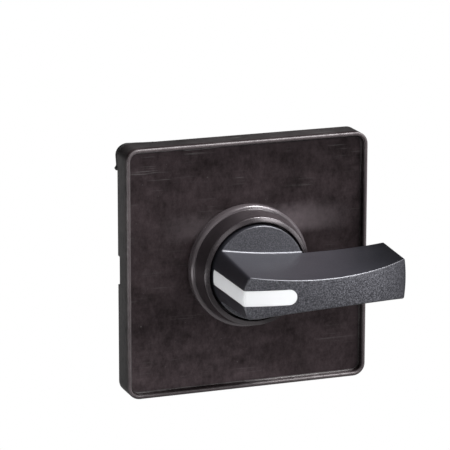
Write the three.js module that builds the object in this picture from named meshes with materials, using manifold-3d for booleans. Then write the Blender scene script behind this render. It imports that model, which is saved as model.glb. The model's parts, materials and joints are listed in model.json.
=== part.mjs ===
// Rotary isolator switch for a control panel, fixed in one 22.5 mm hole: front plate, bezel collar and
// lever handle in front of the panel, lock nut and a two-cell contact block behind it.
import * as THREE from "three";
import { mergeVertices } from "three/addons/utils/BufferGeometryUtils.js";
import Module from "manifold-3d";

const wasm = await Module();
wasm.setup();

// Every piece is drawn as seen from the front, in millimetres: x to the right, y up, z forward out of
// the panel, from the flat back of the contact block. The last lines turn the front to -Y and up to +Z.

// Front plate
const PLATE_WIDTH = 60;
const PLATE_RADIUS = 3;
const PLATE_DEPTH = 7;
const PLATE_FLOOR = 2;
const RIM_FRONT = 38.5;
const RIM_WIDTH = 0.7;
const RECESS_DEPTH = 1.5;
const SKIRT_WALL = 1.6;
const NOTCH_WIDTH = 7;
const NOTCH_DEPTH = 1.3;
const FLOOR_FRONT = RIM_FRONT - RECESS_DEPTH;
const FLOOR_REAR = FLOOR_FRONT - PLATE_FLOOR;
const SKIRT_REAR = RIM_FRONT - PLATE_DEPTH;

// Seal and panel
const SEAL_GAP = 0.3;
const GASKET_REAR = SKIRT_REAR - SEAL_GAP;
const GASKET_SHEET = 1.5;
const BEAD_WIDTH = 2;
const SEAL_RADIUS = 1.2;
const FLAP = { inset: 0.2, start: 24, root: 1.5 };
const FLANGE_SEAL = { radius: 12.9, wire: 0.55, groove: 0.8, rise: 0.65 };
const PANEL_THICKNESS = 3;
const PANEL_REAR = GASKET_REAR - PANEL_THICKNESS;

// Bezel collar, which passes through the panel
const COLLAR_RADIUS = 11;
const COLLAR_REAR = 20.1;
const HUB_BORE = 6.65;
const DISC_BORE = 11.82;
const BEZEL_RADIUS = 14.7;
const BEZEL_HEIGHT = 6;
const BEZEL_STEP = 41.7;
const SHOULDER = { height: 1, round: 0.72, inner: 13.93, rise: 0.12 };
const CONE_TOP = { radius: 13.02, round: 0.3 };
const THREAD_PITCH = 1.5;
const THREAD_DEPTH = 0.8;
const THREAD_REAR = 23;
const THREAD_TURNS = 5;
const KEY_WIDTH = 2.8;
const KEY_HEIGHT = 12.2;
const KEY_REAR = 30.4;
const CLEAR = 0.15;
const LOCK_NUT = { radius: 15.6, thickness: 3, gap: 1.1 };
const LOCK_WASHER = { teeth: 16, root: 13.4, tip: 14.4, rear: 0.9, front: 0.1 };

// Handle
const DISC_RADIUS = 11.3;
const DISC_REAR = 42;
const DISC_FRONT = 45.5;
const DISC_EDGE = 0.17;
const HUB_RADIUS = 6.5;
const HUB_REAR = 18.4;
const TAIL_REAR = 46.3;
const FACE_ARC = 53;
const FACE_PEAK = 29.1;
const FACE_CENTRE = { x: 5, z: RIM_FRONT + FACE_PEAK - FACE_ARC };
const GRIP_START_X = -14;
const GRIP_STEPS = 18;
const TIP_FRONT_X = 30.3;
const TIP_REAR_X = 31.7;
const TIP_ROUNDING = [
  { back: 0.6, share: 0.97 },
  { back: 0.31, share: 0.84 },
  { back: 0.11, share: 0.5 },
  { back: 0, share: 0.15 },
];
const FACE_HALF = { waist: 3.53, waistX: 10.8, spread: 295, flareX: 24, flareSpread: 330 };
const FOOT_HALF = { waist: 4.1, pointerX: 13, pointerSpread: 235, tipX: 17, tipSpread: 285 };
const CORES = [
  { x: [13.2, 20.4], half: 2, front: 62 },
  { x: [21.8, 28.6], half: 2.2, front: 59 },
];
const INLAY_WIDTH = 3.6;
const INLAY_END_X = 0.8;
const INLAY_REAR = 45.1;
const INLAY_THICKNESS = 1.2;
const INLAY_GAP = 0.1;
const ABOVE_ALL = 80;
const LUG = { inner: 8.3, outer: 10.3, halfAngle: 10, depth: 1.6, clear: 0.2 };
const THROW = 90;

// Spindle and what holds it
const SPINDLE_WIDTH = 6;
const SPINDLE_REAR = 0.9;
const SPINDLE_FRONT = 46;
const SOCKET_WIDTH = 6.2;
const PIN = { z: 28, radius: 1, reach: 6.2, clear: 0.06 };
const O_RING = { z: 33, radius: 5.85, wire: 0.7, groove: 4.95, grooveHalf: 0.9 };
const CLIP_GROOVE = { radius: 5.6, rear: 19.2, front: 20 };
const CLIP = { outer: 8, from: 120, to: 420, clear: 0.05 };

// Contact block
const BLOCK_WIDTH = 36;
const BLOCK_RADIUS = 1.5;
const BLOCK_WALL = 1.5;
const COVER_THICKNESS = 1.8;
const CELL_DEPTH = 7;
const CELL_FLOOR = 1.2;
const CELL_REARS = [1.9, 9];
const INDEX_REAR = 16.1;
const INDEX_FRONT = 23.4;
const INDEX_CAVITY_FRONT = 19.9;
const LONG_SCREW = { x: 15.9, y: 14.6, radius: 1, head: 1.6, rear: 0.2, headFront: 1.2, front: 19 };
const SCREW_SLOT = { half: 0.25, depth: 0.5 };
const INDEX_WHEEL = { rear: 16.3, front: 18.2, radius: 8.2, notch: 0.95, notchHalfAngle: 16 };
const INDEX_SPRING = { rear: 16.4, front: 18.1, thickness: 0.4 };
const LEAF_POCKET = { x: 14.5, y: [7.4, 13.5] };
const CAM_HIGH = 7.4;
const CONTACT_TRAVEL = 2.6;
const CAM_DWELL = 8;
const FORK = { rear: 21, front: 22.2, halfWidth: 12, radius: 10.15, y: [-7, 17.5] };

// One pole: across the block, up it, and forward from the rear of its cell
const CAM = { rear: 0.3, front: 5.5, samples: 72 };
const CAM_WELL = { radius: 8.4, spindle: 4.6 };
const CHAMBER = { inner: 5.5, halfHeight: 10.6 };
const TERMINAL_POCKET = { x: [-14.2, -4.6], y: 10 };
const GUIDE = { inner: 12.1, y: [2.7, 3.7] };
const MID_Z = 2.9;
const STRIP = { x: [-6.7, -5.7], y: [7.3, 13.6], z: [0.5, 5.3] };
const SHELF = { x: [-13.4, -5.7], y: [12.6, 13.6] };
const BUTTON = { radius: 1.2, length: 1, y: 8.7 };
const TERMINAL_X = -10;
const TERMINAL_SCREW = [
  [0, 11.3],
  [1.25, 11.3],
  [1.25, 13.75],
  [2.35, 13.75],
  [2.35, 14.35],
  [2, 14.35],
  [2, 16.6],
  [0, 16.6],
];
const CARRIER = { x: [-13.2, -8.7], halfHeight: 2.5, z: [0.5, 5.4] };
const CARRIER_WINDOW = { x: [-11.7, -10.3], z: [1.6, 4.2] };
const BRIDGE = { x: [-11.6, -10.4], halfHeight: 10, z: [1.7, 4.1] };
const SPRING = { turns: 3.5, start: -12.6, length: 3.4, radius: 1.75, wire: 0.25, seat: 2.2 };

const FINISHES = {
  plateBlack: { color: 0x2b2627, roughness: 0.35, metalness: 0 },
  bezelGrey: { color: 0x4a4542, roughness: 0.4, metalness: 0.2 },
  handleGrey: { color: 0x43464c, roughness: 0.55, metalness: 0 },
  white: { color: 0xf2f2f0, roughness: 0.4, metalness: 0 },
  rubber: { color: 0x151515, roughness: 0.85, metalness: 0 },
  steel: { color: 0x9a9ca0, roughness: 0.35, metalness: 1 },
  brass: { color: 0xb08d4f, roughness: 0.35, metalness: 1 },
  blockGrey: { color: 0x6d7072, roughness: 0.6, metalness: 0 },
  camRed: { color: 0x8c2f28, roughness: 0.6, metalness: 0 },
};

// Geometry helpers

function solid(geometry) {
  const bare = geometry.clone();
  bare.deleteAttribute("normal");
  bare.deleteAttribute("uv");
  const merged = mergeVertices(bare, 1e-4);
  const mesh = new wasm.Mesh({
    numProp: 3,
    vertProperties: merged.attributes.position.array,
    triVerts: new Uint32Array(merged.index.array),
  });
  return new wasm.Manifold(mesh);
}

function geometryOf(shape) {
  const mesh = shape.getMesh();
  const geometry = new THREE.BufferGeometry();
  geometry.setAttribute("position", new THREE.BufferAttribute(mesh.vertProperties, 3));
  geometry.setIndex(new THREE.BufferAttribute(mesh.triVerts, 1));
  const faceted = geometry.toNonIndexed();
  faceted.computeVertexNormals();
  return faceted;
}

function join(...shapes) {
  return shapes.reduce((sum, shape) => sum.add(shape));
}

function cut(shape, ...tools) {
  return tools.reduce((rest, tool) => rest.subtract(tool), shape);
}

function box(x, y, z) {
  const geometry = new THREE.BoxGeometry(x[1] - x[0], y[1] - y[0], z[1] - z[0]);
  geometry.translate((x[0] + x[1]) / 2, (y[0] + y[1]) / 2, (z[0] + z[1]) / 2);
  return solid(geometry);
}

function extrude(shape, rear, front, segments = 12) {
  const geometry = new THREE.ExtrudeGeometry(shape, {
    depth: front - rear,
    bevelEnabled: false,
    curveSegments: segments,
  });
  geometry.translate(0, 0, rear);
  return solid(geometry);
}

function roundedSquare(width, radius) {
  const half = width / 2;
  const inner = half - radius;
  const shape = new THREE.Shape();
  shape.moveTo(half, -inner);
  shape.absarc(inner, inner, radius, 0, Math.PI / 2);
  shape.absarc(-inner, inner, radius, Math.PI / 2, Math.PI);
  shape.absarc(-inner, -inner, radius, Math.PI, 1.5 * Math.PI);
  shape.absarc(inner, -inner, radius, 1.5 * Math.PI, 2 * Math.PI);
  return shape;
}

function squareBlock(width, radius, rear, front) {
  return extrude(roundedSquare(width, radius), rear, front, 5);
}

// A solid of revolution round the z axis from [radius, z] points, listed from rear to front.
function turn(points, segments = 36) {
  const profile = points.map(([radius, z]) => new THREE.Vector2(radius, z));
  return solid(new THREE.LatheGeometry(profile, segments).rotateX(Math.PI / 2));
}

function cylinder(radius, rear, front, segments = 36) {
  return turn([[0, rear], [radius, rear], [radius, front], [0, front]], segments);
}

function ring(inner, outer, rear, front, segments = 36) {
  const points = [[inner, rear], [outer, rear], [outer, front], [inner, front], [inner, rear]];
  return turn(points, segments);
}

// A cylinder whose axis runs along y.
function uprightCylinder(radius, bottom, top, segments = 16) {
  const geometry = new THREE.CylinderGeometry(radius, radius, top - bottom, segments);
  return solid(geometry.translate(0, (bottom + top) / 2, 0));
}

// A plate cut to radius(angle), sampled all the way round.
function polarPlate(radiusAt, rear, front, samples) {
  const points = [];
  for (let i = 0; i < samples; i += 1) {
    const angle = (2 * Math.PI * i) / samples;
    const radius = radiusAt(THREE.MathUtils.radToDeg(angle));
    points.push(new THREE.Vector2(radius * Math.cos(angle), radius * Math.sin(angle)));
  }
  return extrude(new THREE.Shape(points), rear, front);
}

// A ring sector, from one angle to another in degrees.
function sector(inner, outer, from, to, rear, front) {
  const start = THREE.MathUtils.degToRad(from);
  const end = THREE.MathUtils.degToRad(to);
  const shape = new THREE.Shape();
  shape.absarc(0, 0, outer, start, end, false);
  shape.absarc(0, 0, inner, end, start, true);
  return extrude(shape, rear, front, 16);
}

function squareHole(rear, front) {
  const half = SOCKET_WIDTH / 2;
  return box([-half, half], [-half, half], [rear, front]);
}

function keySlot(rear, front) {
  const half = KEY_WIDTH / 2 + CLEAR;
  return box([-half, half], [0, KEY_HEIGHT + CLEAR], [rear, front]);
}

// Front plate and seals

function frontPlate() {
  const inside = PLATE_WIDTH - 2 * SKIRT_WALL;
  const recessWidth = PLATE_WIDTH - 2 * RIM_WIDTH;
  const notchReach = PLATE_WIDTH / 2 + 1;
  const notchHalf = NOTCH_WIDTH / 2;
  const notches = box(
    [-notchReach, notchReach],
    [-notchHalf, notchHalf],
    [SKIRT_REAR - 1, SKIRT_REAR + NOTCH_DEPTH],
  );
  return cut(
    squareBlock(PLATE_WIDTH, PLATE_RADIUS, SKIRT_REAR, RIM_FRONT),
    squareBlock(recessWidth, PLATE_RADIUS - RIM_WIDTH, FLOOR_FRONT, RIM_FRONT + 1),
    squareBlock(inside, PLATE_RADIUS - SKIRT_WALL, SKIRT_REAR - 1, FLOOR_REAR),
    cylinder(COLLAR_RADIUS + CLEAR, SKIRT_REAR, RIM_FRONT),
    keySlot(FLOOR_REAR - 1, FLOOR_FRONT + 1),
    notches,
  );
}

// The seal's sheet lies under the plate, its two beads press on the panel, and its upper left corner
// hangs out behind the skirt.
function plateGasket() {
  const width = PLATE_WIDTH - 2 * (SKIRT_WALL + SEAL_GAP);
  const front = FLOOR_REAR - SEAL_GAP;
  const sheetRear = front - GASKET_SHEET;
  const corner = width / 2;
  const loose = PLATE_WIDTH / 2 - FLAP.inset;
  const rootRear = SKIRT_REAR - FLAP.root;
  const sheet = squareBlock(width, SEAL_RADIUS, GASKET_REAR, front);
  const hollow = cut(
    squareBlock(width - 2 * BEAD_WIDTH, SEAL_RADIUS, GASKET_REAR - 1, sheetRear),
    cylinder(COLLAR_RADIUS + SEAL_GAP + BEAD_WIDTH, GASKET_REAR - 2, sheetRear + 1),
  );
  const root = box(
    [FLAP.inset - corner, BEAD_WIDTH - corner],
    [FLAP.start, corner - FLAP.inset],
    [rootRear, sheetRear],
  );
  const flap = box([-loose, BEAD_WIDTH - corner], [FLAP.start, loose], [rootRear, SKIRT_REAR - FLAP.inset]);
  const bore = cylinder(COLLAR_RADIUS + SEAL_GAP, GASKET_REAR - 1, front + 1);
  return cut(join(sheet.subtract(hollow), root, flap), bore, keySlot(GASKET_REAR - 1, front + 1));
}

function flangeSeal() {
  const { radius, wire, rise } = FLANGE_SEAL;
  return solid(new THREE.TorusGeometry(radius, wire, 6, 32).translate(0, 0, FLOOR_FRONT + rise));
}

// Collar, nut and washer

function threadProfile() {
  const points = [];
  for (let i = 0; i < THREAD_TURNS; i += 1) {
    const rear = THREAD_REAR + i * THREAD_PITCH;
    points.push([COLLAR_RADIUS - THREAD_DEPTH, rear]);
    points.push([COLLAR_RADIUS, rear + THREAD_PITCH / 2]);
  }
  points.push([COLLAR_RADIUS - THREAD_DEPTH, THREAD_REAR + THREAD_TURNS * THREAD_PITCH]);
  return points;
}

// A quarter round at an outer front corner, as [radius, z] points.
function quarterRound(radius, z, size) {
  const points = [];
  for (const degrees of [0, 30, 60, 90]) {
    const angle = THREE.MathUtils.degToRad(degrees);
    points.push([radius - size * (1 - Math.cos(angle)), z - size * (1 - Math.sin(angle))]);
  }
  return points;
}

function bezelProfile() {
  const top = RIM_FRONT + BEZEL_HEIGHT;
  const shoulder = RIM_FRONT + SHOULDER.height;
  return [
    [BEZEL_RADIUS, FLOOR_FRONT + CLEAR],
    ...quarterRound(BEZEL_RADIUS, shoulder, SHOULDER.round),
    [SHOULDER.inner, shoulder + SHOULDER.rise],
    ...quarterRound(CONE_TOP.radius, top, CONE_TOP.round),
    [DISC_BORE, top],
    [DISC_BORE, BEZEL_STEP],
    [HUB_BORE, BEZEL_STEP],
  ];
}

function bezelCollar() {
  const threadFront = THREAD_REAR + THREAD_TURNS * THREAD_PITCH;
  const collarEnd = COLLAR_RADIUS - CLEAR;
  const grooveRadius = FORK.radius - CLEAR;
  const body = turn([
    [HUB_BORE, COLLAR_REAR],
    [collarEnd, COLLAR_REAR],
    [collarEnd, FORK.rear - CLEAR],
    [grooveRadius, FORK.rear - CLEAR],
    [grooveRadius, FORK.front + CLEAR],
    ...threadProfile(),
    [COLLAR_RADIUS, threadFront + THREAD_PITCH / 2],
    [COLLAR_RADIUS, FLOOR_FRONT + CLEAR],
    ...bezelProfile(),
    [HUB_BORE, COLLAR_REAR],
  ]);
  const halfKey = KEY_WIDTH / 2;
  const key = box([-halfKey, halfKey], [COLLAR_RADIUS - 1, KEY_HEIGHT], [KEY_REAR, FLOOR_FRONT + 2 * CLEAR]);
  const { radius, wire, groove, rise } = FLANGE_SEAL;
  const grooveEnd = FLOOR_FRONT + rise + wire + CLEAR;
  const sealGroove = ring(radius - groove, radius + groove, FLOOR_FRONT - 1, grooveEnd);
  const lugGap = LUG.halfAngle + 1;
  const stopGroove = sector(
    LUG.inner - LUG.clear,
    LUG.outer + LUG.clear,
    -THROW - lugGap,
    lugGap,
    DISC_REAR - LUG.depth - LUG.clear,
    BEZEL_STEP + 1,
  );
  return cut(join(body, key), sealGroove, stopGroove);
}

function lockNut() {
  const { radius, thickness, gap } = LOCK_NUT;
  const hexagon = new THREE.CylinderGeometry(radius, radius, thickness, 6).rotateX(Math.PI / 2);
  hexagon.translate(0, 0, PANEL_REAR - gap - thickness / 2);
  const bore = cylinder(COLLAR_RADIUS + CLEAR, PANEL_REAR - gap - thickness - 1, PANEL_REAR);
  return cut(solid(hexagon), bore);
}

function lockWasher() {
  const { teeth, root, tip, rear, front } = LOCK_WASHER;
  const toothAt = (angle) => (Math.round((angle * teeth) / 180) % 2 ? root : tip);
  const plate = polarPlate(toothAt, PANEL_REAR - rear, PANEL_REAR - front, teeth * 2);
  return plate.subtract(cylinder(COLLAR_RADIUS + CLEAR, PANEL_REAR - rear - 1, PANEL_REAR + 1));
}

// The fork slides down through the housing into the collar's groove and locks the block to it.
function lockingFork() {
  const { rear, front, halfWidth, radius, y } = FORK;
  const plate = box([-halfWidth, halfWidth], y, [rear, front]);
  const throat = box([-radius, radius], [y[0] - 1, 0], [rear - 1, front + 1]);
  return cut(plate, throat, cylinder(radius, rear - 1, front + 1));
}

// Handle

function faceHeight(x) {
  return FACE_CENTRE.z + Math.sqrt(FACE_ARC ** 2 - (x - FACE_CENTRE.x) ** 2);
}

function faceHalfWidth(x) {
  const { waist, waistX, spread, flareX, flareSpread } = FACE_HALF;
  return waist + (x - waistX) ** 2 / spread + Math.max(0, x - flareX) ** 2 / flareSpread;
}

function footHalfWidth(x) {
  const { waist, pointerX, pointerSpread, tipX, tipSpread } = FOOT_HALF;
  return waist + Math.max(0, pointerX - x) ** 2 / pointerSpread + Math.max(0, x - tipX) ** 2 / tipSpread;
}

// Stations along the grip: how far along it, and the share of the full width that is left there.
function gripStations() {
  const roundFrom = TIP_FRONT_X - 1;
  const stations = [];
  for (let i = 0; i <= GRIP_STEPS; i += 1) {
    stations.push({ x: GRIP_START_X + ((roundFrom - GRIP_START_X) * i) / GRIP_STEPS, share: 1 });
  }
  for (const { back, share } of TIP_ROUNDING) {
    stations.push({ x: TIP_FRONT_X - back, share });
  }
  const stretch = (TIP_REAR_X - GRIP_START_X) / (TIP_FRONT_X - GRIP_START_X);
  return stations.map(({ x, share }) => ({
    share,
    front: x,
    rear: GRIP_START_X + (x - GRIP_START_X) * stretch,
  }));
}

// The skin through four-cornered sections, closed by its first and last section.
function loft(sections) {
  const positions = sections.flat(2);
  const index = [];
  for (let i = 0; i + 1 < sections.length; i += 1) {
    for (let j = 0; j < 4; j += 1) {
      const a = 4 * i + j;
      const b = 4 * i + ((j + 1) % 4);
      index.push(a, b + 4, b, a, a + 4, b + 4);
    }
  }
  const last = 4 * (sections.length - 1);
  index.push(0, 1, 2, 0, 2, 3);
  index.push(last + 2, last + 1, last, last + 3, last + 2, last);
  const geometry = new THREE.BufferGeometry();
  geometry.setAttribute("position", new THREE.Float32BufferAttribute(positions, 3));
  geometry.setIndex(index);
  return solid(geometry);
}

// The grip between its arched face and the disc, lowered by drop and with parallel sides if wide.
function gripLoft(drop, wide) {
  const sections = gripStations().map(({ front, rear, share }) => {
    const faceHalf = wide ? DISC_RADIUS : faceHalfWidth(front) * share;
    const footHalf = wide ? DISC_RADIUS : footHalfWidth(rear) * share;
    return [
      [front, faceHalf, faceHeight(front) - drop],
      [rear, footHalf, DISC_FRONT - 1],
      [rear, -footHalf, DISC_FRONT - 1],
      [front, -faceHalf, faceHeight(front) - drop],
    ];
  });
  return loft(sections);
}

// A block that takes in the whole grip to the right of the axis.
function rightHalf(rear, front) {
  return box([0, TIP_REAR_X + 1], [-DISC_RADIUS, DISC_RADIUS], [rear, front]);
}

// Everything inside the disc's own cylinder, and everything to the right of the axis.
function handleOutline(radius) {
  return join(cylinder(radius, DISC_FRONT - 1, ABOVE_ALL, 48), rightHalf(DISC_FRONT - 1, ABOVE_ALL));
}

function inlayBand(width) {
  const half = width / 2;
  const centre = INLAY_END_X - INLAY_WIDTH / 2;
  const roundEnd = cylinder(half, INLAY_REAR, ABOVE_ALL, 24).translate(centre, 0, 0);
  return join(box([GRIP_START_X, centre], [-half, half], [INLAY_REAR, ABOVE_ALL]), roundEnd);
}

// What lies deeper than the inlay, measured from the grip's face and from its pointer end.
function underInlay(depth) {
  return gripLoft(depth, true).intersect(handleOutline(DISC_RADIUS - depth));
}

function grip() {
  return gripLoft(0, false).intersect(handleOutline(DISC_RADIUS));
}

function discAndHub() {
  const grooveRear = O_RING.z - O_RING.grooveHalf;
  const grooveFront = O_RING.z + O_RING.grooveHalf;
  return turn(
    [
      [0, HUB_REAR],
      [HUB_RADIUS, HUB_REAR],
      [HUB_RADIUS, CLIP_GROOVE.rear],
      [CLIP_GROOVE.radius, CLIP_GROOVE.rear],
      [CLIP_GROOVE.radius, CLIP_GROOVE.front],
      [HUB_RADIUS, CLIP_GROOVE.front],
      [HUB_RADIUS, grooveRear],
      [O_RING.groove, grooveRear],
      [O_RING.groove, grooveFront],
      [HUB_RADIUS, grooveFront],
      [HUB_RADIUS, DISC_REAR],
      [DISC_RADIUS, DISC_REAR],
      [DISC_RADIUS, DISC_FRONT - DISC_EDGE],
      [DISC_RADIUS - DISC_EDGE, DISC_FRONT],
      [0, DISC_FRONT],
    ],
    48,
  );
}

function handle() {
  const underTail = cut(
    rightHalf(DISC_FRONT - 2, TAIL_REAR),
    cylinder(DISC_RADIUS, DISC_FRONT - 3, TAIL_REAR + 1, 48),
  );
  const cores = CORES.map(({ x, half, front }) => box(x, [-half, half], [TAIL_REAR - 1, front]));
  const lug = sector(
    LUG.inner,
    LUG.outer,
    -LUG.halfAngle,
    LUG.halfAngle,
    DISC_REAR - LUG.depth,
    DISC_REAR + 1,
  );
  const inlayGroove = inlayBand(INLAY_WIDTH + INLAY_GAP).subtract(underInlay(INLAY_THICKNESS + INLAY_GAP));
  return cut(
    join(discAndHub(), cut(grip(), underTail, ...cores), lug),
    squareHole(HUB_REAR - 1, SPINDLE_FRONT + 0.3),
    pinHole(),
    inlayGroove,
  );
}

function indicatorInlay() {
  return inlayBand(INLAY_WIDTH).intersect(grip()).subtract(underInlay(INLAY_THICKNESS));
}

// Spindle group

function pinHole() {
  return uprightCylinder(PIN.radius + PIN.clear, -HUB_RADIUS - 1, HUB_RADIUS + 1).translate(0, 0, PIN.z);
}

function spindle() {
  const half = SPINDLE_WIDTH / 2;
  return box([-half, half], [-half, half], [SPINDLE_REAR, SPINDLE_FRONT]).subtract(pinHole());
}

function spindlePin() {
  return uprightCylinder(PIN.radius, -PIN.reach, PIN.reach).translate(0, 0, PIN.z);
}

function shaftSeal() {
  return solid(new THREE.TorusGeometry(O_RING.radius, O_RING.wire, 6, 24).translate(0, 0, O_RING.z));
}

function retainingClip() {
  const rear = CLIP_GROOVE.rear + CLIP.clear;
  const front = CLIP_GROOVE.front - CLIP.clear;
  return sector(CLIP_GROOVE.radius + 2 * CLIP.clear, CLIP.outer, CLIP.from, CLIP.to, rear, front);
}

// The index wheel has a notch for every quarter turn.
function indexWheel() {
  const { rear, front, radius, notch, notchHalfAngle } = INDEX_WHEEL;
  const radiusAt = (angle) => {
    const fromNotch = Math.abs(((angle + 45) % 90) - 45);
    return radius - notch * Math.max(0, 1 - fromNotch / notchHalfAngle);
  };
  return polarPlate(radiusAt, rear, front, 72).subtract(squareHole(rear - 1, front + 1));
}

// A leaf spring that spans its pocket and dips into a notch of the wheel.
function indexSpring() {
  const halfSpan = [[13.8, 11.5], [12.4, 11.1], [4, 9.5], [1.7, 9.4], [0, 7.8]];
  const under = [...halfSpan, ...halfSpan.slice(0, -1).reverse().map(([x, y]) => [-x, y])];
  const over = under.map(([x, y]) => [x, y + INDEX_SPRING.thickness]).reverse();
  const outline = [...under, ...over].map(([x, y]) => new THREE.Vector2(x, y));
  return extrude(new THREE.Shape(outline), INDEX_SPRING.rear, INDEX_SPRING.front);
}

// An arm of the cam falls evenly over a quarter turn, and climbs back between two short dwells.
function cam(rear) {
  const radiusAt = (angle) => {
    const along = angle % 180;
    if (along <= THROW) return CAM_HIGH - (CONTACT_TRAVEL * along) / THROW;
    const climb = (along - THROW - CAM_DWELL) / (THROW - 2 * CAM_DWELL);
    return CAM_HIGH - CONTACT_TRAVEL * (1 - THREE.MathUtils.clamp(climb, 0, 1));
  };
  const plate = polarPlate(radiusAt, rear + CAM.rear, rear + CAM.front, CAM.samples);
  return plate.subtract(squareHole(rear - 1, rear + CELL_DEPTH));
}

// Contact block housings

function longScrewHoles(radius, rear, front) {
  const { x, y } = LONG_SCREW;
  const hole = cylinder(radius + CLEAR, rear, front, 16);
  return join(hole.translate(x, y, 0), hole.translate(-x, -y, 0));
}

function indexHousing() {
  const { x, y } = LEAF_POCKET;
  const leafPocket = box([-x, x], y, [INDEX_REAR - 1, INDEX_CAVITY_FRONT]);
  const forkSlot = box(
    [-FORK.halfWidth - CLEAR, FORK.halfWidth + CLEAR],
    [FORK.y[0] - 1, BLOCK_WIDTH],
    [FORK.rear - CLEAR, FORK.front + CLEAR],
  );
  return cut(
    squareBlock(BLOCK_WIDTH, BLOCK_RADIUS, INDEX_REAR, INDEX_FRONT),
    cylinder(INDEX_WHEEL.radius + 1.4, INDEX_REAR - 1, INDEX_CAVITY_FRONT),
    cylinder(COLLAR_RADIUS + CLEAR, INDEX_CAVITY_FRONT - 0.5, INDEX_FRONT + 1),
    leafPocket,
    leafPocket.rotate([0, 0, 180]),
    forkSlot,
    longScrewHoles(LONG_SCREW.radius, INDEX_REAR - 1, LONG_SCREW.front + 0.4),
  );
}

// Each cell holds a cam in the middle, a moving contact on each side and open terminal pockets above
// and below them.
function cellHousing(rear) {
  const floorRear = rear + CELL_DEPTH - CELL_FLOOR;
  const wall = BLOCK_WIDTH / 2 - BLOCK_WALL;
  const depth = [rear - 1, floorRear];
  const body = squareBlock(BLOCK_WIDTH, BLOCK_RADIUS, rear, rear + CELL_DEPTH);
  const chamber = box([-wall, -CHAMBER.inner], [-CHAMBER.halfHeight, CHAMBER.halfHeight], depth);
  const pocket = box(TERMINAL_POCKET.x, [TERMINAL_POCKET.y, BLOCK_WIDTH], depth);
  const opening = join(chamber, pocket, pocket.mirror([0, 1, 0]));
  const guide = box([-wall - 0.5, -GUIDE.inner], GUIDE.y, [rear, floorRear + 0.5]);
  const guides = join(guide, guide.mirror([0, 1, 0]));
  const hollow = cut(
    body,
    opening,
    opening.rotate([0, 0, 180]),
    cylinder(CAM_WELL.radius, rear - 1, floorRear),
    cylinder(CAM_WELL.spindle, rear, rear + CELL_DEPTH + 1, 24),
    longScrewHoles(LONG_SCREW.radius, rear - 1, rear + CELL_DEPTH + 1),
  );
  return join(hollow, guides, guides.rotate([0, 0, 180]));
}

function rearCover() {
  return cut(
    squareBlock(BLOCK_WIDTH, BLOCK_RADIUS, 0, COVER_THICKNESS),
    cylinder(CAM_WELL.spindle, SPINDLE_REAR - 0.1, COVER_THICKNESS + 1, 24),
    longScrewHoles(LONG_SCREW.radius, -1, COVER_THICKNESS + 1),
    longScrewHoles(LONG_SCREW.head, -1, LONG_SCREW.headFront + 0.1),
  );
}

function longScrew() {
  const { radius, head, rear, headFront, front } = LONG_SCREW;
  const headPoints = [[0, rear], [head, rear], [head, headFront]];
  const body = turn([...headPoints, [radius, headFront], [radius, front], [0, front]], 16);
  const { half, depth } = SCREW_SLOT;
  return body.subtract(box([-head, head], [-half, half], [0, rear + depth]));
}

// One pole, drawn on the left of the block with its cell's rear face at z = 0

// A contact button whose axis runs along x.
function contactButton(x) {
  const button = new THREE.CylinderGeometry(BUTTON.radius, BUTTON.radius, BUTTON.length, 12);
  return solid(button.rotateZ(Math.PI / 2).translate(x, BUTTON.y, MID_Z));
}

function fixedContact() {
  const strip = box(STRIP.x, STRIP.y, STRIP.z);
  const shelf = box(SHELF.x, SHELF.y, STRIP.z);
  const holeRadius = TERMINAL_SCREW[1][0] + 0.2;
  const screwHole = uprightCylinder(holeRadius, SHELF.y[0] - 1, SHELF.y[1] + 1);
  const moved = screwHole.translate(TERMINAL_X, 0, MID_Z);
  return cut(join(strip, shelf, contactButton(STRIP.x[0])), moved);
}

function terminalScrew() {
  const points = TERMINAL_SCREW.map(([radius, y]) => new THREE.Vector2(radius, y));
  const top = points.at(-1).y;
  const { half, depth } = SCREW_SLOT;
  const slot = box([-3, 3], [top - 2 * depth, top + 1], [-half, half]);
  return solid(new THREE.LatheGeometry(points, 14)).subtract(slot).translate(TERMINAL_X, 0, MID_Z);
}

function contactCarrier() {
  const { x, halfHeight, z } = CARRIER;
  const noseTip = CAM_HIGH + CLEAR;
  const root = -x[1] + 0.1;
  const nose = [[root, -2], [root, 2], [noseTip, 0.3], [noseTip, -0.3]];
  const noseShape = new THREE.Shape(nose.map(([out, y]) => new THREE.Vector2(-out, y)));
  const springSeat = new THREE.CylinderGeometry(SPRING.seat, SPRING.seat, 2, 16).rotateZ(Math.PI / 2);
  return cut(
    join(box(x, [-halfHeight, halfHeight], z), extrude(noseShape, z[0], z[1])),
    box(CARRIER_WINDOW.x, [-halfHeight - 1, halfHeight + 1], CARRIER_WINDOW.z),
    solid(springSeat.translate(x[0], 0, MID_Z)),
  );
}

function contactBridge() {
  const bar = box(BRIDGE.x, [-BRIDGE.halfHeight, BRIDGE.halfHeight], BRIDGE.z);
  const upper = contactButton(BRIDGE.x[1]);
  return join(bar, upper, upper.mirror([0, 1, 0]));
}

class HelixCurve extends THREE.Curve {
  getPoint(share, target = new THREE.Vector3()) {
    const { turns, start, length, radius } = SPRING;
    const angle = 2 * Math.PI * turns * share;
    return target.set(start - length * share, radius * Math.cos(angle), MID_Z + radius * Math.sin(angle));
  }
}

function contactSpring() {
  const wire = new THREE.Shape().absarc(0, 0, SPRING.wire, 0, 2 * Math.PI);
  const options = { steps: 35, curveSegments: 2, bevelEnabled: false, extrudePath: new HelixCurve() };
  return solid(new THREE.ExtrudeGeometry(wire, options));
}

// Assembly

const isolatorSwitch = new THREE.Group();
isolatorSwitch.rotation.x = Math.PI / 2;

function addPiece(parent, name, shape, finish) {
  const mesh = new THREE.Mesh(geometryOf(shape), new THREE.MeshStandardMaterial(FINISHES[finish]));
  mesh.name = name;
  parent.add(mesh);
  return mesh;
}

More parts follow.
